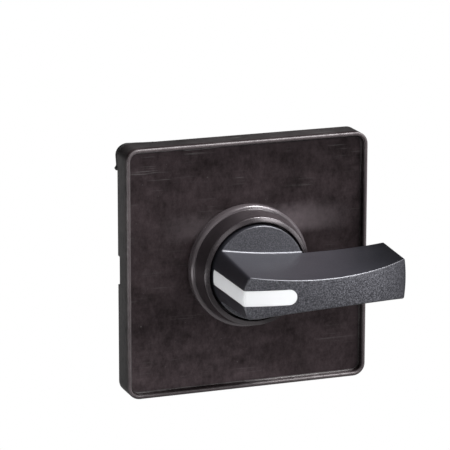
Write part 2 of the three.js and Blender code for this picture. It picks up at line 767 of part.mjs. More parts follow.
function addHead() {
  addPiece(isolatorSwitch, "front_plate", frontPlate(), "plateBlack");
  addPiece(isolatorSwitch, "plate_gasket", plateGasket(), "rubber");
  addPiece(isolatorSwitch, "bezel_collar", bezelCollar(), "bezelGrey");
  addPiece(isolatorSwitch, "flange_seal", flangeSeal(), "rubber");
  addPiece(isolatorSwitch, "lock_washer", lockWasher(), "steel");
  addPiece(isolatorSwitch, "lock_nut", lockNut(), "steel");
}

function addRotor() {
  addPiece(isolatorSwitch, "handle", handle(), "handleGrey");
  addPiece(isolatorSwitch, "indicator_inlay", indicatorInlay(), "white");
  addPiece(isolatorSwitch, "spindle", spindle(), "steel");
  addPiece(isolatorSwitch, "spindle_pin", spindlePin(), "steel");
  addPiece(isolatorSwitch, "shaft_seal", shaftSeal(), "rubber");
  addPiece(isolatorSwitch, "retaining_clip", retainingClip(), "steel");
  addPiece(isolatorSwitch, "index_wheel", indexWheel(), "white");
  addPiece(isolatorSwitch, "cam_rear", cam(CELL_REARS[0]), "camRed");
  addPiece(isolatorSwitch, "cam_front", cam(CELL_REARS[1]), "camRed");
}

function addBlock() {
  addPiece(isolatorSwitch, "locking_fork", lockingFork(), "steel");
  addPiece(isolatorSwitch, "index_housing", indexHousing(), "blockGrey");
  addPiece(isolatorSwitch, "index_spring_upper", indexSpring(), "steel");
  addPiece(isolatorSwitch, "index_spring_lower", indexSpring(), "steel").rotation.z = Math.PI;
  addPiece(isolatorSwitch, "cell_housing_rear", cellHousing(CELL_REARS[0]), "blockGrey");
  addPiece(isolatorSwitch, "cell_housing_front", cellHousing(CELL_REARS[1]), "blockGrey");
  addPiece(isolatorSwitch, "rear_cover", rearCover(), "blockGrey");
  const { x, y } = LONG_SCREW;
  addPiece(isolatorSwitch, "housing_screw_upper", longScrew(), "steel").position.set(x, y, 0);
  addPiece(isolatorSwitch, "housing_screw_lower", longScrew(), "steel").position.set(-x, -y, 0);
}

// A right-hand pole is a left-hand one turned half round, so its upper terminal ends up below.
function addPole(number, cellRear, onLeft) {
  const pole = new THREE.Group();
  pole.position.z = cellRear;
  pole.rotation.z = onLeft ? 0 : Math.PI;
  isolatorSwitch.add(pole);
  const [upper, lower] = onLeft ? ["line", "load"] : ["load", "line"];
  addPiece(pole, `${upper}_terminal_${number}`, fixedContact(), "brass");
  addPiece(pole, `${lower}_terminal_${number}`, fixedContact().mirror([0, 1, 0]), "brass");
  addPiece(pole, `${upper}_screw_${number}`, terminalScrew(), "steel");
  addPiece(pole, `${lower}_screw_${number}`, terminalScrew().mirror([0, 1, 0]), "steel");
  addPiece(pole, `contact_carrier_${number}`, contactCarrier(), "camRed");
  addPiece(pole, `contact_bridge_${number}`, contactBridge(), "brass");
  addPiece(pole, `contact_spring_${number}`, contactSpring(), "steel");
}

addHead();
addRotor();
addBlock();
addPole(1, CELL_REARS[1], true);
addPole(2, CELL_REARS[1], false);
addPole(3, CELL_REARS[0], true);
addPole(4, CELL_REARS[0], false);

export default isolatorSwitch;
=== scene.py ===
"""The looks of a panel-mounted rotary isolator switch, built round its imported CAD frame.

Shapes are worked out in millimetres as seen from the front: x to the right, y up and z out from the
plane of the front plate's rim. to_frame() turns them into the frame's metres.
"""

import json
import math

import bmesh
import bpy
from mathutils import Matrix, Vector


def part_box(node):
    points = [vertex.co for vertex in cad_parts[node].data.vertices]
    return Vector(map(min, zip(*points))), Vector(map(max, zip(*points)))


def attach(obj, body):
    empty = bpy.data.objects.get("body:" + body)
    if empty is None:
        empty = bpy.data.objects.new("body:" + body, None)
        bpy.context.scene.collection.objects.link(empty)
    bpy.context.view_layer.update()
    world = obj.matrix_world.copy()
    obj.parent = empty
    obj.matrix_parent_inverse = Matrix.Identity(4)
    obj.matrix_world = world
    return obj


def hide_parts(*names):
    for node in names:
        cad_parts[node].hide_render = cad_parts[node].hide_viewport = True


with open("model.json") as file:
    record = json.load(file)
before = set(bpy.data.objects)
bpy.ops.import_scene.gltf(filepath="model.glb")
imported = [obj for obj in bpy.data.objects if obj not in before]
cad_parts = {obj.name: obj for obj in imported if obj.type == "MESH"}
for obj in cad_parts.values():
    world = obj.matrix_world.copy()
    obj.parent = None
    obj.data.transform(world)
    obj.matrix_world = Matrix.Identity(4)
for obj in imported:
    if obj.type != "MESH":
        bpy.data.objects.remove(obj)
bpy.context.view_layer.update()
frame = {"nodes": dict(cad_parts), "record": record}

MM = 0.001
PLATE_LOW, PLATE_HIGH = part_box("front_plate")
RIM_Y = PLATE_LOW.y
HALF_PLATE = PLATE_HIGH.x / MM
TO_FRAME = (
    Matrix.Translation((0, RIM_Y, 0))
    @ Matrix.Rotation(math.pi / 2, 4, "X")
    @ Matrix.Scale(MM, 4)
)


def out_of(y):
    """How far, in mm, a frame position lies in front of the rim's plane."""
    return (RIM_Y - y) / MM


# Driving dimensions in millimetres

# Front plate
RECESS_FLOOR = -1.5
PLATE_REAR = out_of(PLATE_HIGH.y)
PLATE_CORNER = 3.0
PLATE_THICKNESS = 2
RIM_FOOT, RIM_EDGE = 1.15, 0.85
SKIRT_WALL, SKIRT_DRAFT = 1.6, 0.1
NOTCH_HALF, NOTCH_DEPTH = 3.5, 1.3
NOTCH_CUT = 2
COLLAR_RADIUS = 11.0
BORE_GAP = 0.15

# Half widths of the gasket's last round loop and of the plate's and gasket's first square loops
ROUND_END, SQUARE_START = 16, 20

# Gasket
SEAL_GAP = 0.3
SHEET_THICKNESS = 1.5
BEAD_WIDTH, BEAD_ROUNDING, BEAD_DRAFT = 2, 0.8, 0.1

# The gasket's loose corner: places and lengths run along the plate's outline, _OUT goes outwards
# and _DEPTH backwards
LIP_SIDE, LIP_TOP = 3.2, 6.0
HOOK_AT, HOOK_LENGTH, HOOK_OUT, HOOK_DEPTH = 0.35, 0.45, 0.36, 0.4
CURL_AT, CURL_LENGTH, CURL_OUT, CURL_DEPTH = 4.6, 3.0, 0.2, 0.3
LIP_INSET, LIP_FRONT_GAP = 0.5, 0.1
LIP_DEPTH, LIP_THINNEST, LIP_FADE = 1.0, 0.25, 4
LIP_HALF_THICKNESS = 0.45
LIP_STATIONS, LIP_SIDES = 56, 12

# Bezel and collar
BEZEL_RADIUS = 14.7
BEZEL_TOP = 6.0
SHOULDER_HEIGHT = 1.0
CONE_FOOT = (13.93, 1.12)
CONE_TOP = (13.02, BEZEL_TOP - 0.42)
COLLAR_REAR = out_of(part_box("bezel_collar")[1].y)
COLLAR_END_RADIUS = COLLAR_RADIUS - 0.2
GROOVE_RADIUS, GROOVE_REAR, GROOVE_FRONT = 10, COLLAR_REAR + 0.7, COLLAR_REAR + 2.4
DISC_BORE = 11.82
DISC_STEP = 3.2
HUB_BORE = 6.65
THREAD_PITCH, THREAD_DEPTH, THREAD_FADE = 1.5, 0.8, 1.2
THREAD_START, THREAD_STEP, THREAD_ROWS = COLLAR_REAR + 2.6, 0.15, 58
NECK_REAR = COLLAR_REAR + 11.3
KEY_HALF, KEY_TOP, KEY_REAR = 1.4, 12.2, -8.1

# Handle
DISC_RADIUS = 11.27
DISC_FRONT = 7.0
DISC_REAR = 3.5
TAIL_REAR = 7.8
FACE_ARC = 53.0
FACE_CENTRE_X = 5.0
FACE_PEAK = 29.1
TIP_BULGE = 0.45
TIP_FRONT_X = 30.3
TIP_REAR_X = 31.7
EDGE_RADIUS = 0.3
POINTER_END_X, END_ROUNDING, SAGITTA_SHARE = -8, 3.0, 0.9
CORNER_REACH = 0.55
FOOT_RADIUS = 0.35
FOOT_TOP = DISC_FRONT + FOOT_RADIUS
GRIP_FLOOR = DISC_FRONT - 0.5

# Half widths of the grip, and where and how gently each end flares (a larger flare is gentler)
WAIST_HALF, WAIST_X, WAIST_FLARE = 3.53, 10.8, 295
TIP_FLARE_X, TIP_FLARE = 24, 330
FOOT_HALF = 4.1
FOOT_POINTER_X, FOOT_POINTER_FLARE = 13, 235
FOOT_TIP_X, FOOT_TIP_FLARE = 17, 285

# Points along each end and each side of the grip's outline
END_STEPS, SIDE_STEPS = 10, 48

# Pointer inlay
INLAY_WIDTH = 3.6
INLAY_END_X = 0.8
INLAY_REAR = 6.6
INLAY_THICKNESS = 1.2
INLAY_SIDE_GAP, INLAY_BACK_GAP = 0.08, 0.1

# Hub, inside the collar
HUB_RADIUS = 6.5
NEAR_AXIS = 0.01
HUB_REAR = out_of(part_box("handle")[1].y)
CLIP_SEAT, CLIP_WIDTH = 5.6, 0.8
O_RING_SEAT, O_RING_REAR, O_RING_FRONT = 4.95, -6.4, -4.6
SOCKET_HALF, SOCKET_FRONT = 3.1, 7.8
PIN_RADIUS, PIN_HALF_LENGTH = 1.06, 8

# Core pockets in the tail's underside
CORE_ROUNDING = 0.8
CORE_NEAR = {"low_x": 13.2, "high_x": 20.4, "half": 2.0, "top": 23.5}
CORE_FAR = {"low_x": 21.8, "high_x": 28.6, "half": 2.2, "top": 20.5}


# Mesh helpers


def new_object(name, mesh):
    obj = bpy.data.objects.new(name, mesh)
    bpy.context.scene.collection.objects.link(obj)
    return obj


def from_faces(name, points, faces):
    mesh = bpy.data.meshes.new(name)
    mesh.from_pydata([tuple(p) for p in points], [], faces)
    bm = bmesh.new()
    bm.from_mesh(mesh)
    bmesh.ops.recalc_face_normals(bm, faces=bm.faces)
    if bm.calc_volume(signed=True) < 0:
        bmesh.ops.reverse_faces(bm, faces=bm.faces)
    bm.to_mesh(mesh)
    bm.free()
    return new_object(name, mesh)


def band_faces(first, second, count):
    """Quads between two closed loops of count points that start at these indices."""
    return [
        (first + i, first + (i + 1) % count, second + (i + 1) % count, second + i)
        for i in range(count)
    ]


def wrapped_skin(name, loops):
    """A closed skin through loops of equal size, the last one joined to the first."""
    count = len(loops[0])
    faces = []
    for row in range(len(loops)):
        faces += band_faces(row * count, ((row + 1) % len(loops)) * count, count)
    return from_faces(name, [p for loop in loops for p in loop], faces)


def circle_loop(radius, z, segments):
    turns = [2 * math.pi * i / segments for i in range(segments)]
    return [(radius * math.cos(a), radius * math.sin(a), z) for a in turns]


def turned_solid(name, profile, segments=128):
    """A solid turned round z from (radius, z) points, capped flat at both ends."""
    loops = [circle_loop(r, z, segments) for r, z in profile]
    faces = []
    for row in range(len(loops) - 1):
        faces += band_faces(row * segments, (row + 1) * segments, segments)
    faces.append(tuple(range(segments)))
    last = (len(loops) - 1) * segments
    faces.append(tuple(range(last, last + segments)))
    return from_faces(name, [p for loop in loops for p in loop], faces)


def extruded(name, outline, low, high):
    """A prism along z over a closed (x, y) outline."""
    count = len(outline)
    points = [(x, y, low) for x, y in outline] + [(x, y, high) for x, y in outline]
    faces = band_faces(0, count, count)
    faces.append(tuple(range(count)))
    faces.append(tuple(range(count, 2 * count)))
    return from_faces(name, points, faces)


def cuboid(name, x, y, z):
    outline = [(x[0], y[0]), (x[1], y[0]), (x[1], y[1]), (x[0], y[1])]
    return extruded(name, outline, z[0], z[1])


def filleted(corners, closed=True, steps=5):
    """A path through (a, b, radius) corners, each rounded to its radius."""
    path = []
    count = len(corners)
    for i, (a, b, radius) in enumerate(corners):
        inside = closed or 0 < i < count - 1
        if radius == 0 or not inside:
            path.append((a, b))
            continue
        corner = Vector((a, b))
        before = Vector(corners[i - 1][:2]) - corner
        after = Vector(corners[(i + 1) % count][:2]) - corner
        half_angle = before.angle(after) / 2
        before.normalize()
        after.normalize()
        centre = corner + (before + after).normalized() * radius / math.sin(half_angle)
        start = corner + before * radius / math.tan(half_angle) - centre
        end = corner + after * radius / math.tan(half_angle) - centre
        turn = start.angle_signed(end)
        for step in range(steps + 1):
            spun = Matrix.Rotation(-turn * step / steps, 2) @ start
            path.append(tuple(centre + spun))
    return path


def combine(target, tool, operation):
    """Boolean of two solids; the tool is used up."""
    modifier = target.modifiers.new("combine", "BOOLEAN")
    modifier.operation = operation
    modifier.solver = "EXACT"
    modifier.object = tool
    evaluated = target.evaluated_get(bpy.context.evaluated_depsgraph_get())
    mesh = bpy.data.meshes.new_from_object(evaluated)
    target.modifiers.clear()
    target.data = mesh
    bpy.data.objects.remove(tool)
    return target


def cut(target, *tools):
    for tool in tools:
        combine(target, tool, "DIFFERENCE")
    return target


def join_solids(target, *others):
    for other in others:
        combine(target, other, "UNION")
    return target


def to_frame(obj, sharp_angle=32):
    """Moves a finished mesh from millimetres into the frame and shades it smooth between its edges."""
    obj.data.transform(TO_FRAME)
    obj.data.shade_smooth()
    obj.data.set_sharp_from_angle(angle=math.radians(sharp_angle))
    return obj


# Front plate


def square_loop(half, corner, z, corner_steps=10, side_steps=14):
    """A rounded square as a closed loop, with points spread evenly along its sides."""
    loop = []
    reach = half - corner
    for quarter in range(4):
        spin = quarter * math.pi / 2
        turns = [spin + math.pi / 2 * i / corner_steps for i in range(corner_steps + 1)]
        centre = Matrix.Rotation(spin, 2) @ Vector((reach, reach))
        arc = [(centre.x + corner * math.cos(a), centre.y + corner * math.sin(a)) for a in turns]
        loop += arc
        start = Vector(arc[-1])
        end = Matrix.Rotation(spin, 2) @ Vector((-reach, half))
        for i in range(1, side_steps):
            loop.append(tuple(start.lerp(end, i / side_steps)))
    return [(x, y, z) for x, y in loop]


def matching_circle(radius, z):
    """A circle whose points line up with those of square_loop."""
    loop = []
    for x, y, _ in square_loop(HALF_PLATE, PLATE_CORNER, 0):
        angle = math.atan2(y, x)
        loop.append((radius * math.cos(angle), radius * math.sin(angle), z))
    return loop


def offset_square(half, z):
    """The rounded square that runs parallel to the plate's outline."""
    corner = max(0.35, PLATE_CORNER - (HALF_PLATE - half))
    return square_loop(half, corner, z)


def front_plate_shell():
    hole = COLLAR_RADIUS + BORE_GAP
    inside = HALF_PLATE - SKIRT_WALL
    floor_rear = RECESS_FLOOR - PLATE_THICKNESS
    edge = filleted(
        [
            (SQUARE_START, RECESS_FLOOR, 0),
            (HALF_PLATE - RIM_FOOT, RECESS_FLOOR, 0.4),
            (HALF_PLATE - RIM_EDGE, 0, 0.36),
            (HALF_PLATE, 0, 0.42),
            (HALF_PLATE, PLATE_REAR, 0.18),
            (inside, PLATE_REAR, 0.18),
            (inside - SKIRT_DRAFT, floor_rear, 0.5),
            (SQUARE_START, floor_rear, 0),
        ],
        closed=False,
    )
    loops = [matching_circle(hole, RECESS_FLOOR)]
    loops += [offset_square(half, z) for half, z in edge]
    loops.append(matching_circle(hole, floor_rear))
    plate = wrapped_skin("front_plate_shell", loops)
    for side in (-1, 1):
        cut(plate, rear_notch(side))
    return to_frame(plate)


def rear_notch(side):
    """The cutter for the notch in the middle of a side's rear edge."""
    top = PLATE_REAR + NOTCH_DEPTH
    outline = filleted(
        [
            (-NOTCH_HALF, PLATE_REAR - 1, 0),
            (NOTCH_HALF, PLATE_REAR - 1, 0),
            (NOTCH_HALF, top, 0.3),
            (-NOTCH_HALF, top, 0.3),
        ]
    )
    notch = extruded("notch", outline, -NOTCH_CUT, NOTCH_CUT)
    turn = Matrix(((0, 0, 1), (1, 0, 0), (0, 1, 0))).to_4x4()
    notch.data.transform(Matrix.Translation((side * HALF_PLATE, 0, 0)) @ turn)
    return notch


# Gasket


def plate_seal():
    """A sheet behind the plate with a bead round its outline and one round its bore."""
    outer = HALF_PLATE - SKIRT_WALL - SEAL_GAP
    front = RECESS_FLOOR - PLATE_THICKNESS - SEAL_GAP
    sheet = front - SHEET_THICKNESS
    bead_rear = PLATE_REAR - SEAL_GAP
    bore = COLLAR_RADIUS + SEAL_GAP
    outer_edge = filleted(
        [
            (SQUARE_START, front, 0),
            (outer, front, 0.3),
            (outer, bead_rear, BEAD_ROUNDING),
            (outer - BEAD_WIDTH, bead_rear, BEAD_ROUNDING),
            (outer - BEAD_WIDTH - BEAD_DRAFT, sheet, 0.4),
            (SQUARE_START, sheet, 0),
        ],
        closed=False,
    )
    inner_edge = filleted(
        [
            (ROUND_END, sheet, 0),
            (bore + BEAD_WIDTH + 2 * BEAD_DRAFT, sheet, 0.4),
            (bore + BEAD_WIDTH + BEAD_DRAFT, bead_rear, BEAD_ROUNDING),
            (bore, bead_rear, BEAD_ROUNDING),
            (bore, front, 0),
        ],
        closed=False,
    )
    loops = [offset_square(half, z) for half, z in outer_edge]
    loops += [matching_circle(radius, z) for radius, z in inner_edge]
    seal = wrapped_skin("soft_plate_seal", loops)
    return to_frame(join_objects(seal, loose_corner()))


def join_objects(target, *others):
    """Adds the other objects' meshes to the target's as islands of their own."""
    bm = bmesh.new()
    bm.from_mesh(target.data)
    for other in others:
        bm.from_mesh(other.data)
        bpy.data.objects.remove(other)
    bm.to_mesh(target.data)
    bm.free()
    return target


def outline_spot(along):
    """A spot on the plate's outline and the way out from it, starting on the left side."""
    centre = Vector((-HALF_PLATE + PLATE_CORNER, HALF_PLATE - PLATE_CORNER))
    corner_length = PLATE_CORNER * math.pi / 2
    if along < LIP_SIDE:
        return Vector((-HALF_PLATE, centre.y - LIP_SIDE + along)), Vector((-1, 0))
    if along < LIP_SIDE + corner_length:
        angle = math.pi - (along - LIP_SIDE) / PLATE_CORNER
        outward = Vector((math.cos(angle), math.sin(angle)))
        return centre + PLATE_CORNER * outward, outward
    return Vector((centre.x + along - LIP_SIDE - corner_length, HALF_PLATE)), Vector((0, 1))


def swell(along, centre, width):
    """A smooth rise from 0 to 1 and back, centred on one spot."""
    return math.exp(-(((along - centre) / width) ** 2))


def loose_corner():
    """The seal's upper left corner, which curls out behind the skirt and ends in a small hook."""
    total = LIP_SIDE + PLATE_CORNER * math.pi / 2 + LIP_TOP
    loops = []
    for i in range(LIP_STATIONS + 1):
        along = total * i / LIP_STATIONS
        base, outward = outline_spot(along)
        hook = swell(along, HOOK_AT, HOOK_LENGTH)
        curl = swell(along, CURL_AT, CURL_LENGTH)
        fade = max(LIP_THINNEST, min(1, (total - along) / LIP_FADE))
        middle = base + outward * (-LIP_INSET + CURL_OUT * curl + HOOK_OUT * hook)
        depth = (LIP_DEPTH + CURL_DEPTH * curl + HOOK_DEPTH * hook) * fade
        loops.append(lip_section(middle, outward, PLATE_REAR - LIP_FRONT_GAP, depth))
    faces = []
    for row in range(LIP_STATIONS):
        faces += band_faces(row * LIP_SIDES, (row + 1) * LIP_SIDES, LIP_SIDES)
    last = LIP_STATIONS * LIP_SIDES
    faces.append(tuple(range(LIP_SIDES)))
    faces.append(tuple(range(last, last + LIP_SIDES)))
    return from_faces("loose_corner", [p for loop in loops for p in loop], faces)


def lip_section(middle, outward, front, depth):
    """One rounded cross-section of the seal's lip, from front backwards."""
    section = []
    for i in range(LIP_SIDES):
        angle = 2 * math.pi * i / LIP_SIDES
        point = middle + outward * LIP_HALF_THICKNESS * math.cos(angle)
        flat = math.copysign(abs(math.sin(angle)) ** 0.6, math.sin(angle))
        section.append((point.x, point.y, front - depth / 2 + depth / 2 * flat))
    return section


# Bezel and its threaded collar


def collar_rear_profile():
    """The collar's rear end, with the groove that the locking fork slides into."""
    return filleted(
        [
            (HUB_BORE, COLLAR_REAR, 0),
            (COLLAR_END_RADIUS, COLLAR_REAR, 0.25),
            (COLLAR_END_RADIUS, GROOVE_REAR, 0),
            (GROOVE_RADIUS, GROOVE_REAR, 0),
            (GROOVE_RADIUS, GROOVE_FRONT, 0),
            (COLLAR_RADIUS - THREAD_DEPTH, GROOVE_FRONT, 0),
        ],
        closed=False,
    )


def bezel_profile():
    """The neck, the flange with its shoulder, the cone and the bore that the disc sits in."""
    flange_rear = RECESS_FLOOR + 0.1
    return filleted(
        [
            (COLLAR_RADIUS, NECK_REAR, 0),
            (COLLAR_RADIUS, flange_rear, 0),
            (BEZEL_RADIUS, flange_rear, 0.15),
            (BEZEL_RADIUS, SHOULDER_HEIGHT, 0.72),
            (*CONE_FOOT, 0.08),
            (*CONE_TOP, 0.3),
            (DISC_BORE, BEZEL_TOP, 0.14),
            (DISC_BORE, DISC_STEP, 0.1),
            (HUB_BORE, DISC_STEP, 0),
        ],
        closed=False,
        steps=6,
    )


def thread_loop(z, segments):
    """One loop round the collar, on a ridge that winds and that fades at both ends."""
    end = THREAD_START + THREAD_STEP * (THREAD_ROWS - 1)
    fade = min(1, (z - THREAD_START) / THREAD_FADE, (end - z) / THREAD_FADE)
    loop = []
    for i in range(segments):
        angle = 2 * math.pi * i / segments
        phase = ((z / THREAD_PITCH) - angle / (2 * math.pi)) % 1
        ridge = 1 - abs(2 * phase - 1)
        radius = COLLAR_RADIUS - THREAD_DEPTH * (1 - ridge * max(0, fade))
        loop.append((radius * math.cos(angle), radius * math.sin(angle), z))
    return loop


def bezel_and_collar():
    segments = 160
    heights = [THREAD_START + THREAD_STEP * i for i in range(THREAD_ROWS)]
    loops = [circle_loop(r, z, segments) for r, z in collar_rear_profile()]
    loops += [thread_loop(z, segments) for z in heights]
    loops += [circle_loop(r, z, segments) for r, z in bezel_profile()]
    bezel = wrapped_skin("bezel_and_collar", loops)
    sideways, upright = (-KEY_HALF, KEY_HALF), (COLLAR_RADIUS - 1, KEY_TOP)
    key = cuboid("key", sideways, upright, (KEY_REAR, RECESS_FLOOR + 0.2))
    return to_frame(join_solids(bezel, key))


# Handle


def face_height(x):
    """The arched face, an arc seen from above."""
    return FACE_PEAK - FACE_ARC + math.sqrt(FACE_ARC**2 - (x - FACE_CENTRE_X) ** 2)


def front_half_width(x):
    """Half the grip's width at its face: a waist that flares to both ends."""
    towards_tip = max(0, x - TIP_FLARE_X)
    return WAIST_HALF + (x - WAIST_X) ** 2 / WAIST_FLARE + towards_tip**2 / TIP_FLARE


def rear_half_width(x):
    """Half the grip's width at its foot, inside the disc."""
    towards_pointer = max(0, FOOT_POINTER_X - x)
    towards_tip = max(0, x - FOOT_TIP_X)
    flare = towards_pointer**2 / FOOT_POINTER_FLARE + towards_tip**2 / FOOT_TIP_FLARE
    return FOOT_HALF + flare


def bent_corner(first, corner, second, steps=6):
    """The points between two spots on either side of a corner, rounded towards it."""
    first, corner, second = Vector(first), Vector(corner), Vector(second)
    bends = []
    for i in range(1, steps):
        t = i / steps
        bends.append(tuple(first * (1 - t) ** 2 + corner * (2 * t * (1 - t)) + second * t**2))
    return bends


def half_outline(half_width, tip_x, inset):
    """The grip's plan from the middle of its pointer end, along one side, to the middle of its tip."""
    radius = DISC_RADIUS - inset
    corner_x = -radius
    for _ in range(6):
        corner_x = -math.sqrt(radius**2 - (half_width(corner_x) - inset) ** 2)
    corner_y = half_width(corner_x) - inset
    arc_end = corner_y - CORNER_REACH
    points = []
    for i in range(END_STEPS + 1):
        y = arc_end * i / END_STEPS
        points.append((-math.sqrt(radius**2 - y**2), y))
    side_start = corner_x + CORNER_REACH
    side_end = tip_x - TIP_BULGE - inset - CORNER_REACH
    side = []
    for i in range(SIDE_STEPS + 1):
        x = side_start + (side_end - side_start) * i / SIDE_STEPS
        side.append((x, half_width(x) - inset))
    points += bent_corner(points[-1], (corner_x, corner_y), side[0]) + side
    tip_corner = (side_end + CORNER_REACH, half_width(side_end + CORNER_REACH) - inset)
    tip = []
    for i in range(END_STEPS + 1):
        y = (tip_corner[1] - CORNER_REACH) * (1 - i / END_STEPS)
        tip.append((tip_x - inset - TIP_BULGE * (y / tip_corner[1]) ** 2, y))
    return points + bent_corner(side[-1], tip_corner, tip[0]) + tip


def whole_outline(half):
    mirrored = [(x, -y) for x, y in reversed(half[1:-1])]
    return [Vector(p) for p in half + mirrored]


def inward_normals(outline):
    normals = []
    count = len(outline)
    for i in range(count):
        along = outline[(i + 1) % count] - outline[i - 1]
        normals.append(Vector((along.y, -along.x)).normalized())
    return normals


def edge_radius(spot, inset):
    """The rounding of the face's edge at a plan position, widest in the middle of the pointer end."""
    if spot.x > POINTER_END_X or abs(spot.y) > END_ROUNDING:
        return EDGE_RADIUS
    radius = DISC_RADIUS - inset
    sagitta = math.sqrt(radius**2 - spot.y**2) - math.sqrt(radius**2 - END_ROUNDING**2)
    return EDGE_RADIUS + SAGITTA_SHARE * sagitta


def capped_half(first, half_count, count):
    """Faces of a flat cap between a loop's two mirrored halves, split across its width."""
    faces = [(first, first + 1, first + count - 1)]
    for i in range(1, half_count - 2):
        faces.append((first + i, first + i + 1, first + count - i - 1, first + count - i))
    end = first + half_count - 2
    faces.append((end, end + 1, end + 2))
    return faces


def foot_rows(inset):
    """Heights and outward flares of the hollow fillet between the disc and the grip's walls."""
    flare = FOOT_RADIUS if inset == 0 else 0
    rows = [(GRIP_FLOOR, flare)]
    for step in range(7):
        turn = math.pi / 2 * step / 6
        height = DISC_FRONT + FOOT_RADIUS * (1 - math.cos(turn))
        rows.append((height, flare * (1 - math.sin(turn))))
    return rows


def foot_points(rear, front, normals, inset, drop):
    """The grip's loops through the disc's surface and the hollow fillet above it."""
    points = []
    for height, flare in foot_rows(inset):
        for a, b, normal in zip(rear, front, normals):
            top = face_height(b.x) - drop - edge_radius(b, inset)
            spot = a.lerp(b, (height - GRIP_FLOOR) / (top - GRIP_FLOOR)) - normal * flare
            if spot.x < 0 and spot.length > DISC_RADIUS - inset:
                spot *= (DISC_RADIUS - inset) / spot.length
            points.append((spot.x, spot.y, height))
    return points


def wall_points(rear, front, inset, drop, steps=10):
    """The grip's loops from its foot up to where the rounded edge starts."""
    points = []
    for step in range(1, steps + 1):
        for a, b in zip(rear, front):
            top = face_height(b.x) - drop - edge_radius(b, inset)
            foot = (FOOT_TOP - GRIP_FLOOR) / (top - GRIP_FLOOR)
            share = foot + (1 - foot) * step / steps
            spot = a.lerp(b, share)
            points.append((spot.x, spot.y, GRIP_FLOOR + (top - GRIP_FLOOR) * share))
    return points


def edge_points(front, normals, inset, drop, steps=5):
    """The grip's loops over its rounded edge onto the face."""
    points = []
    for step in range(1, steps + 1):
        turn = math.pi / 2 * step / steps
        for spot, normal in zip(front, normals):
            radius = edge_radius(spot, inset)
            moved = spot + normal * radius * (1 - math.cos(turn))
            height = face_height(moved.x) - drop - radius * (1 - math.sin(turn))
            points.append((moved.x, moved.y, height))
    return points


def grip_solid(name, inset=0.0, drop=0.0):
    """The lever's body from inside the disc up to its arched face, with rounded edges."""
    front_half = half_outline(front_half_width, TIP_FRONT_X, inset)
    rear_half = half_outline(rear_half_width, TIP_REAR_X, inset)
    front = whole_outline(front_half)
    rear = whole_outline(rear_half)
    normals = inward_normals(front)
    points = foot_points(rear, front, normals, inset, drop)
    points += wall_points(rear, front, inset, drop)
    points += edge_points(front, normals, inset, drop)
    count = len(front)
    rows = len(points) // count
    faces = []
    for row in range(rows - 1):
        faces += band_faces(row * count, (row + 1) * count, count)
    half_count = len(front_half)
    faces += capped_half(0, half_count, count)
    faces += capped_half((rows - 1) * count, half_count, count)
    return from_faces(name, points, faces)


def under_tail():
    """The space between the tail and the bezel, outside the disc."""
    beyond_tip = 40
    reach = math.radians(50)
    steps = 40
    arc = [reach - 2 * reach * i / steps for i in range(steps + 1)]
    outline = [(DISC_RADIUS * math.cos(a), DISC_RADIUS * math.sin(a)) for a in arc]
    outline += [(beyond_tip, outline[-1][1]), (beyond_tip, outline[0][1])]
    return extruded("under_tail", outline, DISC_FRONT - 2, TAIL_REAR)


def core_pocket(low_x, high_x, half, top):
    """The cutter for a moulding core in the tail's underside."""
    corners = [(low_x, -half), (high_x, -half), (high_x, half), (low_x, half)]
    outline = filleted([(x, y, CORE_ROUNDING) for x, y in corners])
    return extruded("pocket", outline, TAIL_REAR - 1, top)


def inlay_band(width, rear):
    """The stadium-shaped column that the inlay is cut from."""
    half = width / 2
    centre = INLAY_END_X - INLAY_WIDTH / 2
    beyond_pointer, beyond_face = -20, 40
    steps = 32
    turns = [-math.pi / 2 + math.pi * i / steps for i in range(steps + 1)]
    outline = [(centre + half * math.cos(a), half * math.sin(a)) for a in turns]
    outline += [(beyond_pointer, half), (beyond_pointer, -half)]
    return extruded("band", outline, rear, beyond_face)


def inlay_tool(width, depth):
    return cut(inlay_band(width, INLAY_REAR), grip_solid("under", inset=depth, drop=depth))


def hub_profile():
    """The hub with its clip and seal grooves, and the disc in front of it."""
    return filleted(
        [
            (NEAR_AXIS, HUB_REAR, 0),
            (HUB_RADIUS, HUB_REAR, 0.25),
            (HUB_RADIUS, HUB_REAR + CLIP_WIDTH, 0),
            (CLIP_SEAT, HUB_REAR + CLIP_WIDTH, 0),
            (CLIP_SEAT, HUB_REAR + 2 * CLIP_WIDTH, 0),
            (HUB_RADIUS, HUB_REAR + 2 * CLIP_WIDTH, 0),
            (HUB_RADIUS, O_RING_REAR, 0),
            (O_RING_SEAT, O_RING_REAR, 0),
            (O_RING_SEAT, O_RING_FRONT, 0),
            (HUB_RADIUS, O_RING_FRONT, 0),
            (HUB_RADIUS, DISC_REAR, 0),
            (DISC_RADIUS, DISC_REAR, 0.1),
            (DISC_RADIUS, DISC_FRONT, 0.26),
            (NEAR_AXIS, DISC_FRONT, 0),
        ],
        closed=False,
    )


def pin_hole():
    profile = [(PIN_RADIUS, -PIN_HALF_LENGTH), (PIN_RADIUS, PIN_HALF_LENGTH)]
    hole = turned_solid("pin_hole", profile, 24)
    pin_z = out_of(sum(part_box("spindle_pin"), Vector()).y / 2)
    hole.data.transform(Matrix.Translation((0, 0, pin_z)) @ Matrix.Rotation(math.pi / 2, 4, "X"))
    return hole


def lever_handle():
    tail = grip_solid("lever_handle")
    cut(tail, under_tail(), core_pocket(**CORE_NEAR), core_pocket(**CORE_FAR))
    handle = join_solids(turned_solid("hub", hub_profile(), 180), tail)
    handle.name = "lever_handle"
    across = (-SOCKET_HALF, SOCKET_HALF)
    cut(
        handle,
        cuboid("socket", across, across, (HUB_REAR - 1, SOCKET_FRONT)),
        pin_hole(),
        inlay_tool(INLAY_WIDTH + INLAY_SIDE_GAP, INLAY_THICKNESS + INLAY_BACK_GAP),
    )
    return to_frame(handle)


